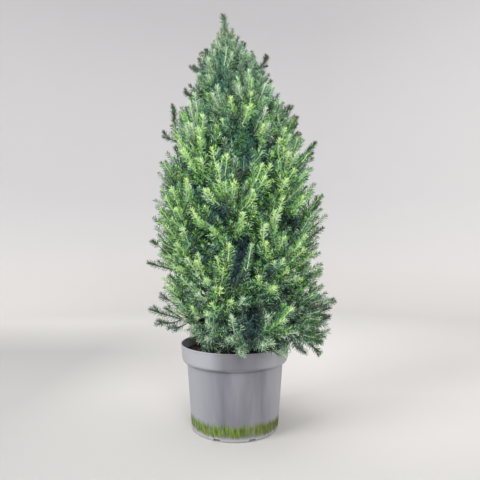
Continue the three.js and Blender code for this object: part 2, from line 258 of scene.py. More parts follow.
def ramped(value, start, end):
    """How far each value has come from start to end, from 0 to 1."""
    return np.clip((value - start) / (end - start), 0, 1)


def unit(v):
    """Vectors along the last axis brought to length one."""
    return v / np.maximum(np.linalg.norm(v, axis=-1, keepdims=True), 1e-12)


def scatter(i, j):
    """The frame's repeatable number from -1 to 1 for a pair of whole numbers."""
    s = np.sin((i + 1) * 12.9898 + (j + 1) * 78.233 + SEED * 3.7) * 43758.5453
    return 2 * (s - np.floor(s)) - 1


def trunk_at(z):
    """The trunk's centreline at each height: a slight bow, then a lean to the left near the top."""
    z = np.asarray(z, float)
    u = (z - SOIL_TOP) / (TREE_TOP - SOIL_TOP)
    rising = np.maximum(u, 0)
    x = BOW_RIGHT * np.sin(np.pi * u) - LEAN_LEFT * rising**4
    y = BOW_BACK * np.sin(1.4 * np.pi * u)
    return np.stack([x, y, z], axis=-1)


def trunk_radius(z):
    """The trunk's radius at each height, without its flare."""
    u = ramped(np.asarray(z, float), SOIL_TOP, TRUNK_TOP)
    return lerp(TRUNK_FOOT_RADIUS, TRUNK_TIP_RADIUS, u**TRUNK_TAPER)


def crown_reach(z, azimuth):
    """How far the crown reaches from the trunk at each height and azimuth."""
    z = np.asarray(z, float)
    above = ramped(z, CROWN_WIDEST, TREE_TOP)
    below = ramped(z, CROWN_WIDEST, CROWN_FOOT)
    fuller = 1 + LOW_REACH_RIGHT * np.cos(azimuth) * below * below
    return CROWN_RADIUS * (1 - above**CROWN_TAPER) * (1 - CROWN_TUCK * below**3) * fuller


def height_at_share(share, foot, top):
    """The height from foot to top below which a share of the crown's surface lies."""
    heights = np.linspace(foot, top, 201)
    sums = np.concatenate([[0], np.cumsum(crown_reach(heights[1:], np.pi / 2))])
    return heights[np.searchsorted(sums, share * sums[-1])]


def crown_point(height, azimuth, share):
    """A point at a share of the crown's reach."""
    reach = share * crown_reach(height, azimuth)
    outward = np.stack([np.cos(azimuth), np.sin(azimuth), np.zeros_like(azimuth)], axis=-1)
    return trunk_at(height) + reach[..., None] * outward


def point_on(curves, t):
    """The point at parameter t of each quadratic curve, given by three points."""
    t = np.asarray(t, float)[..., None]
    a, b, c = np.moveaxis(curves, -2, 0)
    return (1 - t) ** 2 * a + 2 * t * (1 - t) * b + t * t * c


def direction_on(curves, t):
    """The direction at parameter t of each quadratic curve."""
    t = np.asarray(t, float)[..., None]
    a, b, c = np.moveaxis(curves, -2, 0)
    return unit((1 - t) * (b - a) + t * (c - b))


def evenly_along(curve, count):
    """count + 1 points evenly spaced along one curve, and their parameters."""
    fine = np.linspace(0, 1, 201)
    points = point_on(curve[None], fine)
    run = np.concatenate([[0], np.cumsum(np.linalg.norm(np.diff(points, axis=0), axis=1))])
    t = np.interp(np.linspace(0, run[-1], count + 1), run, fine)
    return point_on(curve[None], t), t


def guide_lines():
    """Each bough's whole line from the trunk to the crown's surface, and the leader's last of all."""
    i = np.arange(BOUGHS)
    azimuth = FIRST_AZIMUTH + i * GOLDEN_ANGLE + 0.16 * scatter(i, 1)
    tip_height = height_at_share((i + 0.5) / BOUGHS, LOWEST_TIP, HIGHEST_TIP)
    climb = (tip_height - LOWEST_TIP) / (HIGHEST_TIP - LOWEST_TIP)
    root = trunk_at(lerp(FIRST_BOUGH, LAST_BOUGH, climb**BOUGH_CLIMB))
    tip = crown_point(tip_height, azimuth, 1 + TIP_SCATTER * scatter(i, 2))
    bend = (root + crown_point(tip_height, azimuth, np.full(BOUGHS, 1.2))) / 2
    bend[:, 2] -= 0.1 * np.abs(tip[:, 2] - root[:, 2])
    bend[:, 2] = np.maximum(bend[:, 2], POT_HEIGHT + BOUGH_OVER_RIM)
    lines = np.stack([root, bend, tip], axis=1)
    foot, top = trunk_at(TRUNK_TOP), trunk_at(TREE_TOP - LEADER_NEEDLES)
    leader = np.stack([foot, (foot + top) / 2, top])
    return np.concatenate([lines, leader[None]])


def clear_of_pot(points, clear, from_wall, over_soil):
    """Whether each point is that far outside or above the pot, or inside it from its wall and the soil."""
    from_axis, z = np.hypot(points[..., 0], points[..., 1]), points[..., 2]
    inside = (from_axis < COLLAR_FOOT_RADIUS - from_wall) & (z > SOIL_TOP + over_soil)
    return inside | (from_axis > RIM_RADIUS + clear) | (z > POT_HEIGHT + clear)


def in_open_crown(points, spare):
    """Whether each point lies in the crown, let out by spare, and clear of the pot and the soil."""
    x, y, z = points[..., 0], points[..., 1], points[..., 2]
    axis = trunk_at(np.minimum(z, TREE_TOP))
    off = np.hypot(x - axis[..., 0], y - axis[..., 1])
    azimuth = np.arctan2(y - axis[..., 1], x - axis[..., 0])
    lowest = np.where(x > LOW_SIDE, LOWEST_SPRAY, POT_HEIGHT - OVER_RIM)
    within = (z < TREE_TOP) & (z > lowest)
    within &= off < crown_reach(z, azimuth) + spare - TOP_OPEN * ramped(z, *TOP_OPEN_AT)
    within &= (z > TRUNK_TOP) | (off > trunk_radius(z) + LIMB_CLEARANCE)
    clear = POT_CLEARANCE + SHOOT_ROOM
    return within & clear_of_pot(points, clear, 2 * clear, 2 * clear)


def fitted(curves, spare):
    """Curves shortened until they lie in the open crown, and which of them do."""
    curves = curves.copy()
    for _ in range(FIT_ROUNDS):
        points = point_on(curves[:, None], FIT_CHECKS)
        good = in_open_crown(points, spare[:, None]).all(axis=1)
        curves[~good] = lerp(curves[~good][:, :1], curves[~good], FIT_SHORTER)
    return curves, good


def lengths_of(curves):
    """The length of each curve, from its chord and its two legs."""
    legs = np.linalg.norm(np.diff(curves, axis=1), axis=2).sum(axis=1)
    chord = np.linalg.norm(curves[:, 2] - curves[:, 0], axis=1)
    return (legs + chord) / 2


def rise_at(points):
    """How steeply shoots point at each place, as an angle above the horizon: steeper towards the top.

    At the left and right sides of the crown they lean out more.
    """
    z = points[..., 2]
    rise = np.interp(z, RISE_HEIGHTS, RISE_ANGLES)
    beside = np.clip(np.abs(points[..., 0]) / CROWN_RADIUS, 0, 1)
    lean_out = np.interp(z, LEAN_OUT_HEIGHTS, (0, 1, 1, 0))
    return np.radians(rise - LEAN_OUT * beside * lean_out)


def from_ovals(places, points):
    """How far from the nearest oval's middle the camera sees each point, in shares of its size."""
    eye_x, eye_y, eye_z = CAMERA_AT
    scale = eye_y / (eye_y - points[..., 1])
    x = eye_x + scale * (points[..., 0] - eye_x)
    z = eye_z + scale * (points[..., 2] - eye_z)
    nearest = np.full(x.shape, np.inf)
    for middle, height, wide, high in places:
        across = np.sqrt(((x - middle) / wide) ** 2 + ((z - height) / high) ** 2)
        nearest = np.minimum(nearest, across)
    return nearest


def shadow_of(places, points):
    """How deep in the shade of the ovals each point in the front of the crown lies, from 0 to 1."""
    return ramped(from_ovals(places, points), *SHADE_EDGE) * (points[..., 1] < SHADE_BACK)


def in_hollow(curves):
    """Whether the outer half of each curve crosses one of the dark hollows between the front branches."""
    points = point_on(curves[:, None], (0.5, 0.75, 1.0))
    outer = (points[..., 1] < 0) & (depth_in_crown(points) > INNER_DEPTH)
    return (outer & (from_ovals(HOLLOWS, points) < 1)).any(axis=1)


def depth_in_crown(points):
    """How far out each point lies in the crown, from 0 at the trunk to 1 at the surface."""
    z = np.minimum(points[..., 2], TREE_TOP)
    off = points - trunk_at(z)
    azimuth = np.arctan2(off[..., 1], off[..., 0])
    across = np.hypot(off[..., 0], off[..., 1]) / np.maximum(crown_reach(z, azimuth), 0.03)
    return np.maximum(across, 1 - (TREE_TOP - z) / TOP_DEPTH)


def surface_tips(count, foot, top, turn, share, spread, stream):
    """Places spread evenly round the crown, at about a share of its reach."""
    n = np.arange(count)
    height = height_at_share((n + 0.5) / count, foot, top)
    return crown_point(height, n * GOLDEN_ANGLE + turn, share + spread * scatter(n, stream))


def leave_guide(tips, guides, back, first, last):
    """Where a twig to each tip leaves the guide line nearest to it: a share back from its nearest place."""
    guide_points, guide_t = map(np.array, zip(*(evenly_along(line, GUIDE_STEPS) for line in guides)))
    apart = np.array([np.linalg.norm(tip - guide_points, axis=2) for tip in tips])
    owner = apart.min(axis=2).argmin(axis=1)
    nearest = apart[np.arange(len(tips)), owner].argmin(axis=1) / GUIDE_STEPS
    share = np.clip(nearest - back, first[owner], last)
    step = np.rint(share * GUIDE_STEPS).astype(int)
    return point_on(guides[owner], guide_t[owner, step])


def ahead_at(tips, wander):
    """The way a twig points at each tip: outward, and upward at the slope that shoots have at its height.

    It wanders a little up and down, and low in the crown more and sideways too.
    """
    outward = tips - trunk_at(tips[:, 2])
    outward[:, 2] = 0
    outward = unit(outward)
    low = ramped(tips[:, 2], *LOW_TURN_AT)[:, None]
    turn = LOW_TURN * low * rng.normal(size=(len(tips), 1))
    outward = np.cos(turn) * outward + np.sin(turn) * np.cross(UP, outward)
    rise = rise_at(tips)[:, None] + wander * (1 + low) * rng.normal(size=(len(tips), 1))
    return np.cos(rise) * outward + np.sin(rise) * UP


def curves_to(tips, start, ahead):
    """A curve from each start to its tip, which it reaches the way ahead points."""
    reach = np.linalg.norm(tips - start, axis=1, keepdims=True)
    return np.stack([start, tips - ARRIVAL * reach * ahead, tips], axis=1)


def behind_hollows():
    """Places behind the dark hollows, so that no light shows through them."""
    steps = (-0.6, 0, 0.6)
    grid = [(x + a * wide, z + b * high) for x, z, wide, high in HOLLOWS for a in steps for b in steps]
    x, z = np.array(grid).T
    places = trunk_at(z) + np.array([0, 0.35 * CROWN_RADIUS, 0])
    places[:, 0] = 0.9 * x
    return places[depth_in_crown(places) < 0.85]


def twig_curves(boughs):
    """A twig to each tip, how far it may stand out of the crown, and its tier.

    Tier 0 goes to the frame's tips, 1 to more at the surface, 2 to strays, 3 to some under it, 4 to inner.
    """
    strays = np.array([(x, 0.02 * np.sin(37 * k), z) for k, (x, z) in enumerate(STRAY_TIPS)])
    n = np.arange(TOP_TIPS)
    top_height = np.linspace(TREE_TOP - 0.16, TREE_TOP - 0.022, TOP_TIPS)
    top_tips = crown_point(top_height, n * GOLDEN_ANGLE + 1, 0.65 + 0.3 * scatter(n, 6))
    first = np.full(len(boughs), BOUGH_SHARE + 0.04)
    first[-1] = 0.04
    tips = surface_tips(*FRAME_TIPS)
    start = leave_guide(tips, boughs, FORK_BACK, first, LAST_FORK)
    twigs = curves_to(tips, start, ahead_at(tips, WANDER))
    limbs = np.concatenate([boughs, twigs])
    limb_first = np.concatenate([first, np.full(len(twigs), 0.15)])
    tiers = [twigs]
    at_surface = np.concatenate([surface_tips(*SURFACE_TIPS), top_tips])
    for tips in (at_surface, strays, surface_tips(*UNDER_TIPS)):
        ahead = ahead_at(tips, WANDER)
        start = leave_guide(tips - FORK_UNDER * ahead, limbs, 0.2, limb_first, 0.8)
        tiers.append(curves_to(tips, start, ahead))
    tips = np.concatenate([surface_tips(*INNER_TIPS), behind_hollows()])
    start = leave_guide(tips, boughs, FORK_BACK, 0.3 * first, LAST_FORK)
    tiers.append(curves_to(tips, start, ahead_at(tips, INNER_WANDER)))
    tier = np.repeat(np.arange(len(tiers)), [len(group) for group in tiers])
    curves = np.concatenate(tiers)
    spare = spare_reach(len(curves))
    spare[tier == 2] = STRAY_SPARE
    return curves, spare, tier


def shared_out(counts):
    """For the members of groups of the given sizes, the group of each and its number in it."""
    owner = np.repeat(np.arange(len(counts)), counts)
    return owner, np.arange(len(owner)) - np.repeat(np.cumsum(counts) - counts, counts)


def leave_at(curves, t, turn):
    """The point at parameter t of each curve, the direction there, and the way out at an angle round it."""
    start = point_on(curves, t)
    along = direction_on(curves, t)
    side = unit(np.cross(along, UP) + 1e-6)
    over = np.cross(side, along)
    turn = turn[:, None]
    return start, along, np.cos(turn) * side + np.sin(turn) * over


def side_shoots(parents, spacing, first, last, longest, lift, spare=None):
    """Shoots all round each parent from parameter first to last, each ending short of the parent's tip.

    They stay in the open crown, let out by spare, or each by its own reach if none is given.
    """
    lengths = lengths_of(parents)
    counts = np.maximum(1, np.rint((last - first) * lengths / spacing)).astype(int)
    counts[last <= first] = 0
    owner, order = shared_out(counts)
    share = (order + 0.5 + 0.3 * rng.uniform(-1, 1, len(owner))) / counts[owner]
    t = first[owner] + (last - first)[owner] * share
    turn = order * GOLDEN_ANGLE + owner * 2.4 + 0.3 * rng.normal(size=len(owner))
    start, along, away = leave_at(parents[owner], t, turn)
    angle = (SHOOT_ANGLE + 0.12 * rng.normal(size=len(owner)))[:, None]
    leaving = unit(np.cos(angle) * along + np.sin(angle) * away)
    rise = np.clip(np.sin(rise_at(start)), 0, 1)[:, None]
    ending = unit(0.6 * leaving + 0.6 * along + lift * rise * UP)
    length = 0.65 * (1 - t) * lengths[owner] * rng.uniform(0.75, 1.15, len(owner))
    length = np.clip(length, SHORTEST_SHOOT, longest)[:, None]
    bend = start + 0.4 * length * leaving
    curves = np.stack([start, bend, bend + 0.6 * length * ending], axis=1)
    spare = spare_reach(len(curves)) if spare is None else np.full(len(curves), spare)
    curves, good = fitted(curves, spare)
    return curves[good & (lengths_of(curves) > 0.8 * SHORTEST_SHOOT) & ~in_hollow(curves)]


def spare_reach(count):
    """How far each of count shoots may stand out of the crown: most stay in, a few stand out."""
    spare = rng.uniform(-0.02, -0.002, count)
    longer = rng.random(count) > 0.93
    spare[longer] = rng.uniform(0, 0.008, longer.sum())
    return spare


def grow():
    """The plant above its trunk as curves: boughs, and for each tier its twigs and their side shoots."""
    boughs = guide_lines()
    twigs, spare, tier = twig_curves(boughs)
    twigs, good = fitted(twigs, spare)
    good &= ~in_hollow(twigs)
    long_twigs, outer, strays, under, inner = (twigs[good & (tier == k)] for k in range(5))
    outer = np.concatenate([long_twigs, outer])
    first = np.clip(1 - BRANCHED / lengths_of(outer), 0, 0.7)
    last = 1 - CANDLE / lengths_of(outer)
    shoots = side_shoots(outer, SHOOT_SPACING, first, last, LONGEST_SHOOT, 0.7)
    few = np.full(len(strays), 0.3)
    side_strays = side_shoots(strays, 0.024, few, few + 0.5, 0.026, 0.3, STRAY_SPARE)
    limbs = np.concatenate([boughs, long_twigs, under])
    sizes = [BOUGHS, 1, len(long_twigs), len(under)]
    first = np.repeat([0.3, 0, 0.12, 0.2], sizes)
    last = np.repeat([0.88, 0.7, 0.6, 0.8], sizes)
    lower = side_shoots(limbs, UNDER_SPACING, first, last, LONGEST_SHOOT, 0.5, -0.02)
    one = np.ones(len(inner))
    fill = side_shoots(inner, INNER_SPACING, 0.15 * one, 0.92 * one, LONGEST_SHOOT, 0.3, -0.03)
    return boughs, outer, shoots, strays, side_strays, under, lower, inner, fill


def linear(colour):
    """An sRGB colour, given as three numbers up to 255, as the linear RGBA that shaders take."""
    c = np.array(colour) / 255
    c = np.where(c <= 0.04045, c / 12.92, ((c + 0.055) / 1.055) ** 2.4)
    return (*c.tolist(), 1.0)


def feed(node, key, value):
    """Links an input of a node, by name or number, to another node's output, or sets it to a value."""
    if isinstance(value, bpy.types.NodeSocket):
        node.id_data.links.new(value, node.inputs[key])
    else:
        node.inputs[key].default_value = value


def new_material(name, colour, roughness):
    """A material with one shader, and the tree to add its nodes to."""
    material = bpy.data.materials.new(name)
    material.use_nodes = True
    shader = material.node_tree.nodes["Principled BSDF"]
    feed(shader, "Base Color", linear(colour))
    feed(shader, "Roughness", roughness)
    return material, material.node_tree, shader


def add_node(tree, kind, inputs, **settings):
    """The outputs of a new node, with its settings made and its inputs fed."""
    node = tree.nodes.new("ShaderNode" + kind)
    for name, value in settings.items():
        setattr(node, name, value)
    for key, value in inputs.items():
        feed(node, key, value)
    return node.outputs


def place_in(tree):
    """The place on the object."""
    return add_node(tree, "TexCoord", {})["Object"]


def noise_in(tree, scale, detail, stretch=(1, 1, 1)):
    """Noise of a scale, as a value."""
    place = add_node(tree, "Mapping", {"Vector": place_in(tree), "Scale": stretch})["Vector"]
    inputs = {"Vector": place, "Scale": scale, "Detail": detail, "Roughness": NOISE_ROUGHNESS}
    return add_node(tree, "TexNoise", inputs)["Fac"]


def axes_in(tree):
    """The place on the object as X, Y and Z."""
    return add_node(tree, "SeparateXYZ", {"Vector": place_in(tree)})


def ramp(factor, stops):
    """A colour ramp over (place, colour) stops."""
    colours = add_node(factor.id_data, "ValToRGB", {"Fac": factor})["Color"]
    elements = colours.node.color_ramp.elements
    while len(elements) < len(stops):
        elements.new(0.5)
    for element, (place, colour) in zip(elements, stops):
        element.position = place
        element.color = linear(colour)
    return colours


def mapped(value, low, high, from_low=0.0, from_high=1.0):
    """A value brought from one range to another, and kept inside it."""
    inputs = {"Value": value, "From Min": from_low, "From Max": from_high, "To Min": low, "To Max": high}
    return add_node(value.id_data, "MapRange", inputs)["Result"]


def maths(operation, first, second):
    """A value put together with another or with a number."""
    return add_node(first.id_data, "Math", {0: first, 1: second}, operation=operation)["Value"]


def mixed(factor, first, second):
    """One colour mixed by a factor with a second, which may be given as an sRGB colour."""
    if isinstance(second, tuple):
        second = linear(second)
    return add_node(first.id_data, "Mix", {0: factor, 6: first, 7: second}, data_type="RGBA")[2]


def add_bump(shader, height, strength, distance):
    """Relief from a value."""
    inputs = {"Height": height, "Strength": strength, "Distance": distance}
    feed(shader, "Normal", add_node(shader.id_data, "Bump", inputs)["Normal"])


def grained(name, colour, roughness, grain, rough, relief, stops=()):
    """A material whose roughness, relief and, over stops, colour vary with a grain, and its shader."""
    material, tree, shader = new_material(name, colour, roughness)
    value = noise_in(tree, *grain)
    if stops:
        feed(shader, "Base Color", ramp(value, stops))
    feed(shader, "Roughness", mapped(value, *rough))
    add_bump(shader, value, *relief)
    return material, shader


def needle_material(name, colour):
    """A waxy needle, in one colour."""
    material, shader = grained(name, colour, 0.5, (260, 2), (0.4, 0.7), (0.25, 0.0004))
    feed(shader, "Specular IOR Level", 0.35)
    return material


def bark_material(name, dark, middle, light, scale):
    """Thin scaly bark: patches of three browns, darker in the cracks."""
    material, tree, shader = new_material(name, middle, 0.85)
    patches = noise_in(tree, scale, 6, (1, 1, 0.35))
    feed(shader, "Base Color", ramp(patches, [(0.3, dark), (0.5, middle), (0.68, light)]))
    feed(shader, "Roughness", mapped(patches, 0.95, 0.7))
    add_bump(shader, noise_in(tree, 3 * scale, 4, (1, 1, 0.5)), 0.5, 0.0008)
    return material


def twig_material(name, colour):
    """A thin twig or shoot, in one colour."""
    return grained(name, colour, 0.75, (420, 3), (0.6, 0.9), (0.4, 0.0005))[0]


def pot_material():
    """Grey moulded plastic, faintly streaked, with painted reflections at its left and right sides and across
    its collar, and a band of green algae round its foot.
    """
    material, tree, shader = new_material("pot_plastic", (128, 127, 135), 0.4)
    x, _, height = axes_in(tree)
    streaks = noise_in(tree, 26, 4, (1, 1, 0.12))
    grey = ramp(streaks, [(0.36, (92, 92, 100)), (0.52, (106, 106, 114)), (0.66, (119, 119, 126))])
    grey = mixed(mapped(noise_in(tree, 9, 2), 0, 0.25, 0.45, 0.75), grey, (122, 122, 128))
    # Painted reflections: the pot is lighter at its left side and at its right side
    grey = mixed(mapped(x, 0.8, 0, -0.1, -0.025), grey, (152, 153, 160))
    grey = mixed(mapped(x, 0, 0.7, 0.065, 0.11), grey, (168, 168, 174))
    # Painted reflection across the collar
    across = mapped(x, 0, 1, -0.12, 0.12)
    on_collar = mapped(height, 0, 0.85, COLLAR_FOOT - 0.001, COLLAR_FOOT + 0.002)
    grey = mixed(on_collar, grey, ramp(across, COLLAR_PAINTED_SHEEN))
    grey = mixed(mapped(height, 0.7, 0, 0.006, 0.014), grey, (166, 166, 168))
    sway = mapped(noise_in(tree, 14, 2, (1, 1, 0.05)), -ALGAE_SWAY, ALGAE_SWAY)
    fray = mapped(noise_in(tree, 150, 4, (1, 1, 0.12)), -ALGAE_FRAY, ALGAE_FRAY)
    shifted = maths("ADD", height, maths("ADD", sway, fray))
    below_top = mapped(shifted, 1, 0, ALGAE_TOP - 0.008, ALGAE_TOP + 0.005)
    above_foot = mapped(shifted, 0, 1, ALGAE_FOOT - 0.004, ALGAE_FOOT + 0.003)
    patchy = mapped(noise_in(tree, 70, 5, (1, 1, 0.3)), 0.7, 1, 0.3, 0.5)
    band = maths("MULTIPLY", maths("MULTIPLY", below_top, above_foot), patchy)
    tuft = noise_in(tree, 240, 4, (1, 1, 0.2))
    green = ramp(tuft, [(0.3, (46, 56, 20)), (0.5, (80, 104, 28)), (0.7, (116, 136, 46))])
    brown = ramp(noise_in(tree, 30, 3), [(0.45, (110, 104, 62)), (0.6, (84, 76, 44))])
    worn = mapped(noise_in(tree, 11, 2, (1, 1, 0.2)), 0, 0.75, 0.5, 0.62)
    right = mapped(x, 0, 0.5, 0, 0.06)
    worn_right = maths("MULTIPLY", right, mapped(tuft, 0.3, 1, 0.4, 0.6))
    green = mixed(maths("MAXIMUM", worn, worn_right), green, brown)
    feed(shader, "Base Color", mixed(band, grey, green))
    rough = maths("ADD", mapped(streaks, 0.4, 0.56), maths("MULTIPLY", band, 0.4))
    feed(shader, "Roughness", rough)
    relief = maths("ADD", maths("MULTIPLY", tuft, band), maths("MULTIPLY", streaks, 0.08))
    add_bump(shader, relief, 0.5, 0.0012)
    return material


def soil_material(name, dark, light):
    """Dark peaty potting soil."""
    middle = tuple((a + b) // 2 for a, b in zip(dark, light))
    stops = [(0.35, dark), (0.55, middle), (0.72, light)]
    return grained(name, dark, 0.95, (180, 6), (1, 0.8), (0.8, 0.0015), stops)[0]


def placed(name, data):
    """A new object in the scene."""
    made = bpy.data.objects.new(name, data)
    bpy.context.scene.collection.objects.link(made)
    return made


def mesh_from(name, points, triangles, materials, index=None, smooth=True):
    """A mesh object from points and triangles."""
    mesh = bpy.data.meshes.new(name)
    mesh.from_pydata(points.tolist(), [], triangles.tolist(), shade_flat=not smooth)
    for material in materials:
        mesh.materials.append(material)
    if index is not None:
        mesh.polygons.foreach_set("material_index", index.astype(np.int32))
    return placed(name, mesh)


def add_piece(piece, nodes):
    """Makes a piece ride with the root body and stand for nodes."""
    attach(piece, "root")
    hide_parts(*nodes)


def tube_faces(sides, steps):
    """The triangles of a closed tube of steps + 1 rings, whose two end points follow the rings."""
    faces = []
    for step in range(steps):
        for side in range(sides):
            a = step * sides + side
            b = step * sides + (side + 1) % sides
            faces += [(a, b, b + sides), (a, b + sides, a + sides)]
    low, high = (steps + 1) * sides, (steps + 1) * sides + 1
    for side in range(sides):
        following = (side + 1) % sides
        faces += [(low, following, side), (high, steps * sides + side, steps * sides + following)]
    return np.array(faces)


def repeated(faces, copies, size):
    """The triangles of a number of copies, each of size points, that follow one another."""
    return (faces[None] + (np.arange(copies) * size)[:, None, None]).reshape(-1, 3)


def tubes(curves, radius, sides, steps):
    """Tapering tubes along curves as points and triangles. radius holds a foot and a tip radius for each."""
    t = np.linspace(0, 1, steps + 1)
    n = len(curves)
    centre = point_on(curves[:, None], t)
    along = direction_on(curves[:, None], t)
    across = unit(np.cross(curves[:, 2] - curves[:, 0], np.array([0.31, 0.17, 0.94])))[:, None]
    u = unit(across - (across * along).sum(-1, keepdims=True) * along)
    v = np.cross(along, u)
    angle = np.arange(sides) * 2 * np.pi / sides
    ring = np.cos(angle)[:, None] * u[:, :, None] + np.sin(angle)[:, None] * v[:, :, None]
    wide = lerp(radius[:, :1], radius[:, 1:], t[None])[:, :, None, None]
    points = (centre[:, :, None] + wide * ring).reshape(n, -1, 3)
    end = centre[:, -1] + along[:, -1] * radius[:, 1:]
    points = np.concatenate([points, centre[:, :1], end[:, None]], axis=1)
    return points.reshape(-1, 3), repeated(tube_faces(sides, steps), n, points.shape[1])


def needles_on(curves, stem_radius, bare, per_metre, length, closing):
    """Needles all round each curve past its bare part: where each starts, its way, length, owner and t."""
    first = np.broadcast_to(bare, len(curves))
    reach = lengths_of(curves)
    counts = np.maximum(4, np.rint(reach * (1 - first) * per_metre)).astype(int)
    owner, order = shared_out(counts)
    share = (order + rng.random(len(owner))) / counts[owner]
    share = 1 - (1 - share) ** 1.3
    t = first[owner] + (1 - first[owner]) * share
    turn = order * GOLDEN_ANGLE + 0.25 * rng.normal(size=len(owner))
    start, along, away = leave_at(curves[owner], t, turn)
    closed = closing * np.exp((t - 1) * reach[owner] / CLOSED_TIP)
    spread = lerp(OPEN_NEEDLES, CLOSED_NEEDLES, closed) + 8 * rng.normal(size=len(owner))
    spread = np.radians(spread)[:, None]
    way = unit(np.cos(spread) * along + np.sin(spread) * away + 0.06 * UP)
    low = ramped(start[:, 2], *LOW_CROWN)
    long = length * rng.uniform(0.8, 1.15, len(owner)) * (1 - 0.45 * closed) * (1 + 0.15 * low)
    start = start + away * 0.6 * stem_radius
    end = start + way * long[:, None]
    middle = start + way * 0.5 * long[:, None]
    keep = clear_of_pot(end, *NEEDLES_CLEAR) & ~(from_ovals(WINDOWS, middle) < 1)
    return start[keep], way[keep], long[keep], owner[keep], t[keep]


def needle_mesh(start, way, long, wide):
    """Each needle as a slim closed wedge, broad one way at its foot and the other way near its tip."""
    side = unit(np.cross(way, np.array([0.23, 0.41, 0.88])))
    other = np.cross(way, side)
    end = start + way * long[:, None]
    half = wide[:, None] / 2
    points = [start - half * side, start + half * side, end - 0.4 * half * other, end + 0.4 * half * other]
    points = np.stack(points, axis=1)
    wedge = np.array([(0, 1, 3), (1, 0, 2), (2, 3, 1), (3, 2, 0)])
    return points.reshape(-1, 3), repeated(wedge, len(start), 4)


# Needle colours in classes from dark to pale, each in four tones: partly lit and shaded copies of one needle
# as painted light and shade, partly the needles' own paler new growth. Cool is the tone of painted shade
TONES = ("cool", "warm", "grey", "olive")
NEEDLE_COLOURS = {
    "shade": ((60, 80, 92), (58, 102, 50), (68, 92, 86), (60, 68, 54)),
    "deep": ((74, 110, 108), (74, 126, 56), (86, 114, 100), (74, 88, 60)),
    "dull": ((88, 140, 118), (84, 148, 68), (100, 134, 112), (92, 108, 74)),
    "mid": ((106, 158, 130), (102, 170, 75), (118, 153, 123), (114, 132, 90)),
    "leaf": ((136, 184, 146), (136, 194, 92), (146, 179, 145), (138, 156, 108)),
    "bright": ((170, 208, 168), (172, 218, 120), (172, 200, 166), (160, 180, 128)),
    "fresh_and_lit": ((200, 226, 192), (206, 236, 146), (194, 215, 186), (184, 204, 150)),
}
CLASS_EDGES = (0.13, 0.26, 0.4, 0.55, 0.71, 0.89)
COOL, WARM, GREY, OLIVE = range(len(TONES))


def colour_classes(curves, brightest, olive_share, owner, t, start):
    """Which colour and tone each needle takes.

    They are paler near their shoot's tip, as new growth and as painted light, and further out and higher up,
    as painted light. They are darker deeper in, low down, at the crown's sides and in its shade, as painted
    shade, and cool in that shade. The foot and the top are greyer. The tips at the top and its sides are
    olive and darker, as painted shade, and a share of the shoots is olive all along.
    """
    tip = curves[:, 2]
    z = np.minimum(tip[:, 2], TREE_TOP)
    to_tip = (1 - t) * lengths_of(curves)[owner]
    shoot_depth = depth_in_crown(tip)
    outward = ramped(depth_in_crown(start), 0.5, 0.9)
    low = ramped(start[:, 2], *LOW_CROWN)
    upper = ramped(start[:, 2], *UPPER_CROWN)
    high = ramped(z, *HIGH_CROWN)
    foot = ramped(z, *LOW_CROWN)
    beside = np.abs(tip[:, 0] - trunk_at(z)[:, 0]) / np.maximum(crown_reach(z, np.pi / 2), 0.02)
    beside = ramped(beside, 0.66, 0.9)
    # Tips at the outline, at the crown's sides high up and at the top, turn olive and darker as painted shade
    edge = np.maximum(beside * np.clip(0.4 + high, 0, 1), ramped(z, *LEADER_AT))
    edge = edge[owner] * np.exp(-to_tip / 0.014)
    # Painted shade: needles at the crown's left and right sides are darker, more so at the left
    darker = np.where(tip[:, 0] < 0, 0.8, 0.7) * beside
    top = brightest * (1 + 0.15 * rng.normal(size=len(curves))) * (1 - darker)
    # Paler near the shoot's tip, as new growth and as painted light
    value = top[owner] * (0.49 + 0.51 * np.exp(-((to_tip / 0.019) ** 1.6)))
    # Painted shade deeper in the crown and low down, and painted light in its upper part
    value *= 1 - (0.38 - 0.18 * high[owner]) * (1 - outward)
    value *= (1 - 0.2 * low) * (1 + 0.26 * upper)
    # Painted shade in the ovals of deep shade and shade, where the needles also turn cool
    shadow = np.maximum(shadow_of(HOLLOWS, start), shadow_of(SHADED, start) * (shoot_depth[owner] < 0.93))
    value *= 1 - (0.5 - 0.3 * upper) * shadow
    value += (0.28 - 0.16 * shadow) * rng.normal(size=len(owner))
    value = 0.46 + (value - 0.46) * (1 - 0.25 * low - 0.2 * upper - 0.45 * high[owner]) - 0.4 * edge
    # Inner shoots are more often cool, the tone of painted shade
    cool_share = 0.3 + 0.15 * high + 0.5 * ramped(shoot_depth, 0.85, 0.6)
    tone = np.where(rng.random(len(curves)) > cool_share, WARM, COOL)
    grey_share = np.maximum(np.maximum(0.15 * beside, 0.75 * foot), 0.95 * high**1.2)
    tone[rng.random(len(curves)) < grey_share] = GREY
    tone[rng.random(len(curves)) < olive_share] = OLIVE
    tone = np.where(edge > 0.4, OLIVE, tone[owner])
    other = (tone <= WARM) & (rng.random(len(owner)) < 0.28)
    tone = np.where(other, WARM - tone, tone)
    tone = np.where(rng.random(len(owner)) < shadow, COOL, tone)
    return np.digitize(value, CLASS_EDGES), tone


def add_stems(name, curves, radii, sides, steps, materials, nodes=FOLIAGE_NODES, old_steps=0):
    """Tapering tubes as one piece: the first material over their old steps, and the last past them."""
    points, triangles = tubes(curves, np.broadcast_to(radii, (len(curves), 2)), sides, steps)
    index = np.zeros((len(curves), 2 * sides * (steps + 1)), int)
    index[:, 2 * sides * old_steps :] = len(materials) - 1
    add_piece(mesh_from(name, points, triangles, materials, index.ravel()), nodes)


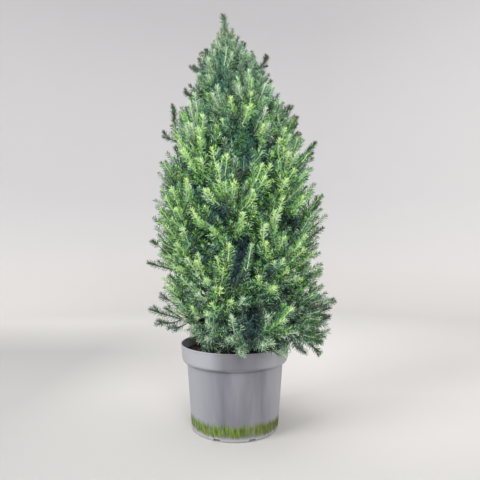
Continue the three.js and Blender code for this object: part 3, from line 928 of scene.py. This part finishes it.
def make_foliage():
    """Boughs, twigs, shoots and needles."""
    boughs, outer, shoots, strays, side_strays, under, lower, inner, fill = grow()
    bark = bark_material("bough_bark", (56, 50, 46), (84, 76, 66), (120, 110, 96), 90.0)
    old = twig_material("twig_bark", (70, 68, 52))
    young = twig_material("young_bark", (186, 202, 156))
    foot = BOUGH_ROOT_RADIUS * (1 - 0.55 * np.arange(BOUGHS) / BOUGHS)
    foot = np.append(foot, TRUNK_TIP_RADIUS)
    radii = np.stack([foot, np.full(BOUGHS + 1, STEM_TIP_RADIUS)], axis=1)
    add_stems("bough_bark", boughs, radii, 10, 30, [bark, young], BOUGH_NODES, 27)
    add_stems("twigs", outer, TWIG_RADII, 4, 6, [old, young], old_steps=2)
    add_stems("old_twigs", np.concatenate([under, inner, strays]), TWIG_RADII, 4, 4, [old])
    add_stems("shoots", np.concatenate([shoots, lower]), SHOOT_RADII, 3, 2, [young])
    add_stems("old_shoots", np.concatenate([fill, side_strays]), SHOOT_RADII, 3, 2, [old])

    # Needles by the metre, their length and width, and how far they close up at the shoot's tip
    fine = (NEEDLES_PER_METRE, NEEDLE_LENGTH, NEEDLE_WIDTH, 1.0)
    full = (1.16 * NEEDLES_PER_METRE, NEEDLE_LENGTH, NEEDLE_WIDTH, 1.0)
    long_fine = (2.4 * NEEDLES_PER_METRE, 1.35 * NEEDLE_LENGTH, 1.2 * NEEDLE_WIDTH, 0.75)
    dense = (1.8 * NEEDLES_PER_METRE, NEEDLE_LENGTH, NEEDLE_WIDTH, 1.0)
    middling = (0.85 * NEEDLES_PER_METRE, NEEDLE_LENGTH, 1.15 * NEEDLE_WIDTH, 1.0)
    coarse = (INNER_PER_METRE, INNER_NEEDLE_LENGTH, INNER_NEEDLE_WIDTH, 0.5)

    # Curves, how bright they are, the olive share, the bare part, the stem's radius and the needles
    bare = np.clip(1 - 0.11 / lengths_of(outer), 0, 0.8)
    # The outer curves are brightest and the inner ones darkest, partly as painted light and shade
    groups = [
        (outer, 1.12, 0, bare, TWIG_RADII[0], full),
        (shoots, 0.88, 0, 0.04, SHOOT_RADII[0], fine),
        (boughs[:-1], 0.9, 0, 0.4, STEM_TIP_RADIUS, fine),
        (boughs[-1:], 0.66, 0, 0.1, STEM_TIP_RADIUS, long_fine),
        (strays, 0.8, 0.35, 0.05, TWIG_RADII[0], dense),
        (side_strays, 0.72, 0.35, 0.04, SHOOT_RADII[0], dense),
        (under, 0.62, 0, 0.2, TWIG_RADII[0], middling),
        (lower, 0.54, 0, 0.04, SHOOT_RADII[0], middling),
        (inner, 0.34, 0, 0.12, TWIG_RADII[0], coarse),
        (fill, 0.32, 0, 0.04, SHOOT_RADII[0], coarse),
    ]
    gathered = []
    for curves, brightest, olive_share, bare, stem, (per_metre, length, broad, closing) in groups:
        start, way, long, owner, t = needles_on(curves, stem, bare, per_metre, length, closing)
        wide = broad * rng.uniform(0.85, 1.1, len(start))
        kind, tone = colour_classes(curves, brightest, olive_share, owner, t, start)
        gathered.append((start, way, long, wide, kind, tone))
    start, way, long, wide, kind, tone = (np.concatenate(parts) for parts in zip(*gathered))
    for k, (name, colours) in enumerate(NEEDLE_COLOURS.items()):
        for w, colour in enumerate(colours):
            some = np.flatnonzero((kind == k) & (tone == w))
            if len(some) == 0:
                continue
            label = f"needles_{name}_{TONES[w]}"
            points, triangles = needle_mesh(start[some], way[some], long[some], wide[some])
            material = needle_material(label, colour)
            add_piece(mesh_from(label, points, triangles, [material], smooth=False), FOLIAGE_NODES)


def lathe(profile, sides):
    """A profile of radius and height pairs turned round the Z axis. Its two ends may be on it."""
    points, faces, rings = [], [], []
    for radius, height in profile:
        first = len(points)
        if radius < 1e-9:
            points.append((0.0, 0.0, height))
            rings.append([first] * sides)
            continue
        for side in range(sides):
            angle = 2 * math.pi * side / sides
            points.append((radius * math.cos(angle), radius * math.sin(angle), height))
        rings.append(list(range(first, first + sides)))
    for low, high in zip(rings, rings[1:]):
        for side in range(sides):
            following = (side + 1) % sides
            a, b, c, d = low[side], low[following], high[following], high[side]
            if a != b:
                faces.append((a, b, c))
            if c != d:
                faces.append((a, c, d))
    return np.array(points), np.array(faces)


def rounded(corners):
    """An outline whose corners, given as (radius, height, rounding), are cut by smooth bends."""
    outline = []
    for k, (r, z, rounding) in enumerate(corners):
        here = np.array([r, z])
        if rounding == 0 or k in (0, len(corners) - 1):
            outline.append((r, z))
            continue
        back = np.array(corners[k - 1][:2]) - here
        ahead = np.array(corners[k + 1][:2]) - here
        cut = min(rounding, 0.45 * np.linalg.norm(back), 0.45 * np.linalg.norm(ahead))
        start, end = here + cut * unit(back), here + cut * unit(ahead)
        for step in range(BEND_STEPS + 1):
            s = step / BEND_STEPS
            outline.append(tuple((1 - s) ** 2 * start + 2 * s * (1 - s) * here + s * s * end))
    return outline


def make_pot():
    """The pot: a thin tapered shell with a shoulder, a collar, a rolled lip and drain slots."""
    corners = [
        (0, 0, 0),
        (BODY_FOOT_RADIUS - FOOT_BEVEL, 0, 0.002),
        (BODY_FOOT_RADIUS, FOOT_BEVEL, 0.002),
        (BODY_TOP_RADIUS, COLLAR_FOOT - SHOULDER_DROP, 0.0015),
        (COLLAR_FOOT_RADIUS - 0.004, COLLAR_FOOT - 0.004, 0.003),
        (COLLAR_FOOT_RADIUS, COLLAR_FOOT + 0.002, 0.003),
        (RIM_RADIUS - 0.0012, POT_HEIGHT - LIP_HEIGHT, 0.0008),
        (RIM_RADIUS, POT_HEIGHT - LIP_HEIGHT + 0.001, 0.001),
        (RIM_RADIUS, POT_HEIGHT - 0.001, 0.001),
        (RIM_RADIUS - 0.001, POT_HEIGHT, 0.001),
        (RIM_RADIUS - LIP_THICKNESS, POT_HEIGHT, 0.001),
        *reversed([(r, z, bend) for (r, z), bend in zip(INNER_WALL, (0.002, 0.002, 0.003, 0.003))]),
        (0, FLOOR, 0),
    ]
    points, triangles = lathe(rounded(corners), POT_SEGMENTS)
    pot = mesh_from("pot_shell", points, triangles, [pot_material()])
    boxes = [slot_points((k + 0.5) * 2 * math.pi / DRAIN_SLOTS) for k in range(DRAIN_SLOTS)]
    faces = np.array([(0, 1, 2), (1, 3, 2), (4, 6, 5), (5, 6, 7), (0, 4, 1), (1, 4, 5),
                      (2, 3, 6), (3, 7, 6), (0, 2, 4), (2, 6, 4), (1, 5, 3), (3, 5, 7)])
    cutter = mesh_from("slots", np.concatenate(boxes), repeated(faces, DRAIN_SLOTS, 8), [])
    cut = pot.modifiers.new("slots", "BOOLEAN")
    cut.operation = "DIFFERENCE"
    cut.solver = "EXACT"
    cut.object = cutter
    bpy.context.view_layer.update()
    shaped = bpy.data.meshes.new_from_object(pot.evaluated_get(bpy.context.evaluated_depsgraph_get()))
    pot.modifiers.clear()
    pot.data = shaped
    bpy.data.objects.remove(cutter)
    shaped.set_sharp_from_angle(angle=SHARP_ANGLE)
    add_piece(pot, ["pot"])


def slot_points(turn):
    """The eight corners of a drain slot's box at an angle round the pot's foot."""
    deep, wide, high = SLOT_CUTTER
    corners = []
    for r in (BODY_FOOT_RADIUS - deep / 2, BODY_FOOT_RADIUS + deep / 2):
        for y in (-wide / 2, wide / 2):
            across = r * math.cos(turn) - y * math.sin(turn)
            back = r * math.sin(turn) + y * math.cos(turn)
            corners += [(across, back, -high / 2), (across, back, high / 2)]
    return np.array(corners)


def make_soil():
    """The soil in the pot: a lumpy top on a plain body, strewn with clods and bits of bark."""
    slope = (RIM_RADIUS - LIP_THICKNESS - COLLAR_FOOT_RADIUS + WALL) / (COLLAR_HEIGHT - 0.003)
    edge = COLLAR_FOOT_RADIUS - WALL + slope * (SOIL_TOP - COLLAR_FOOT - 0.003) - SOIL_INSET
    outline = [(0, FLOOR + GAP)]
    outline += [(r - SOIL_INSET, max(z, FLOOR + GAP)) for r, z in INNER_WALL]
    outline.append((edge, SOIL_TOP - 0.002))
    outline += [(edge * (1 - k / SOIL_RINGS), SOIL_TOP) for k in range(1, SOIL_RINGS + 1)]
    points, triangles = lathe(outline, SOIL_SEGMENTS)
    for p in points:
        if p[2] > SOIL_TOP - 0.001:
            away = ramped(math.hypot(p[0], p[1]), 0.02, 0.04)
            coarse = noise.noise(Vector(p * 60)) + 0.5 * noise.noise(Vector(p * 170))
            p[2] += away * (0.0026 * coarse - 0.0016) + 0.0009 * noise.noise(Vector(p * 420))
    peat = soil_material("peat", (24, 18, 18), (60, 46, 44))
    add_piece(mesh_from("soil_bed", points, triangles, [peat]), ["soil"])
    add_piece(clods(edge), ["soil"])


def clods(edge):
    """Small lumps and splinters of bark that lie on the soil."""
    t = (1 + math.sqrt(5)) / 2
    corners = np.array([(-1, t, 0), (1, t, 0), (-1, -t, 0), (1, -t, 0)])
    ball = unit(np.concatenate([np.roll(corners, k, axis=1) for k in range(3)]))
    faces = np.array([(0, 11, 5), (0, 5, 1), (0, 1, 7), (0, 7, 10), (0, 10, 11), (1, 5, 9), (5, 11, 4),
                      (11, 10, 2), (10, 7, 6), (7, 1, 8), (3, 9, 4), (3, 4, 2), (3, 2, 6), (3, 6, 8),
                      (3, 8, 9), (4, 9, 5), (2, 4, 11), (6, 2, 10), (8, 6, 7), (9, 8, 1)])
    radius = np.sqrt(rng.uniform(0.02, 0.96, CLODS)) * edge
    azimuth = rng.uniform(0, 2 * np.pi, CLODS)
    middle = np.stack([radius * np.cos(azimuth), radius * np.sin(azimuth), np.full(CLODS, SOIL_TOP)], axis=1)
    size = rng.uniform(0.0012, 0.0036, (CLODS, 1, 1)) * rng.uniform(0.55, 1.2, (CLODS, 1, 3))
    size[CLODS // 2 :, 0, 0] *= 1.8
    size[CLODS // 2 :, 0, 2] *= 0.4
    lumps = ball[None] * size * (1 + 0.2 * rng.normal(size=(CLODS, len(ball), 1)))
    turn = rng.uniform(0, 2 * np.pi, CLODS)[:, None]
    x = lumps[..., 0] * np.cos(turn) - lumps[..., 1] * np.sin(turn)
    y = lumps[..., 0] * np.sin(turn) + lumps[..., 1] * np.cos(turn)
    points = (np.stack([x, y, lumps[..., 2]], axis=-1) + middle[:, None]).reshape(-1, 3)
    earth = soil_material("clods", (30, 22, 22), (70, 54, 50))
    chips = soil_material("chips", (54, 40, 36), (100, 82, 72))
    index = np.repeat(rng.integers(0, 4, CLODS) == 0, len(faces)).astype(int)
    triangles = repeated(faces, CLODS, len(ball))
    return mesh_from("soil_clods", points, triangles, [earth, chips], index, smooth=False)


def make_trunk():
    """The trunk with its root flare and the relief of its thin scaly bark.

    Its rings run clockwise, so its triangles are turned over.
    """
    sides, rings = 32, 240
    share = np.linspace(0, 1, rings + 1) ** 1.3
    heights = lerp(TRUNK_FOOT, TRUNK_TOP, share)
    angle = np.arange(sides) * 2 * np.pi / sides
    centre = trunk_at(heights)
    lobes = 1 + 0.35 * np.cos(4 * angle + 0.6)
    flare = ROOT_FLARE * np.exp((TRUNK_FOOT - heights) / ROOT_FLARE_FADE)[:, None] * lobes
    radius = trunk_radius(heights)[:, None] + flare
    x = centre[:, :1] + radius * np.cos(angle)
    y = centre[:, 1:2] - radius * np.sin(angle)
    points = np.stack([x, y, np.broadcast_to(heights[:, None], x.shape)], axis=-1)
    for ring in range(1, rings):
        for side in range(sides):
            p = points[ring, side]
            out = unit(p - centre[ring])
            scales = noise.noise(Vector(p * (240, 240, 90)))
            ridges = noise.noise(Vector(p * (90, 90, 26)))
            points[ring, side] = p + out * radius[ring, side] * (0.06 * scales + 0.07 * ridges)
    points = np.concatenate([points.reshape(-1, 3), centre[:1], centre[-1:]])
    triangles = tube_faces(sides, rings)[:, ::-1]
    bark = bark_material("trunk_bark", (50, 46, 46), (80, 74, 70), (116, 108, 100), 60.0)
    add_piece(mesh_from("trunk_bark", points, triangles, [bark]), ["trunk"])


def make_camera():
    """The camera at the photograph's place, tilted up slightly."""
    data = bpy.data.cameras.new("camera")
    data.lens = LENS
    data.sensor_width = SENSOR
    camera = placed("camera", data)
    camera.location = CAMERA_AT
    camera.rotation_euler = (math.radians(90 + TILT_UP), 0, 0)
    bpy.context.scene.camera = camera


def add_light(name, place, size, power):
    """A large soft area light that faces the tree."""
    data = bpy.data.lights.new(name, "AREA")
    data.size = size
    data.energy = power
    light = placed(name, data)
    light.location = place
    light.rotation_euler = (Vector(LIGHT_TARGET) - Vector(place)).to_track_quat("-Z", "Y").to_euler()


def paper_material():
    """The sweep's pale paper, with painted shade and light: darker in front, most at the left, and paler
    towards the right wall.
    """
    material, tree, shader = new_material("paper", (208, 206, 205), 0.95)
    x, y, z = axes_in(tree)
    # Painted light and shade on the sweep: the wall darker higher up and paler towards the right
    wall = ramp(z, [(0, (208, 205, 202)), (0.3, (210, 208, 206)), (0.95, (201, 200, 201))])
    wall = mixed(mapped(x, 0, 0.4, 0.8, 2.4), wall, (226, 224, 222))
    floor = mixed(mapped(y, 0, 1, 0.6, 1.5), wall, (212, 210, 207))
    # Painted shade on the floor: darker in front, darkest at the front left
    floor = mixed(mapped(y, 1, 0, -0.35, 0.25), floor, (180, 178, 176))
    left = mapped(x, 0.76, 0, -0.65, 0)
    near = mapped(y, 1, 0, 0.8, 1.6)
    floor = mixed(maths("MULTIPLY", left, near), floor, (152, 151, 149))
    feed(shader, "Base Color", mixed(mapped(z, 0, 1, 0, 0.3), floor, wall))
    return material


def make_studio():
    """A pale round sweep with soft lights."""
    outline = [(0, 0), (0.5, 0), (SWEEP_FLAT, 0)]
    for k in range(1, SWEEP_STEPS + 1):
        a = k / SWEEP_STEPS * math.pi / 2
        outline.append((SWEEP_FLAT + SWEEP_BEND * math.sin(a), SWEEP_BEND * (1 - math.cos(a))))
    outline.append((SWEEP_FLAT + SWEEP_BEND, SWEEP_HIGH))
    points, triangles = lathe(outline, 96)
    sweep = mesh_from("sweep", points, triangles[:, ::-1], [paper_material()])
    for light in LIGHTS:
        add_light(*light)
    world = bpy.data.worlds.new("world")
    world.use_nodes = True
    background = world.node_tree.nodes["Background"].inputs
    background["Color"].default_value = linear((238, 238, 241))
    background["Strength"].default_value = 0.82
    bpy.context.scene.world = world
    bpy.context.scene.view_settings.view_transform = "Standard"


make_camera()
make_studio()
make_pot()
make_soil()
make_trunk()
make_foliage()
bpy.context.view_layer.update()
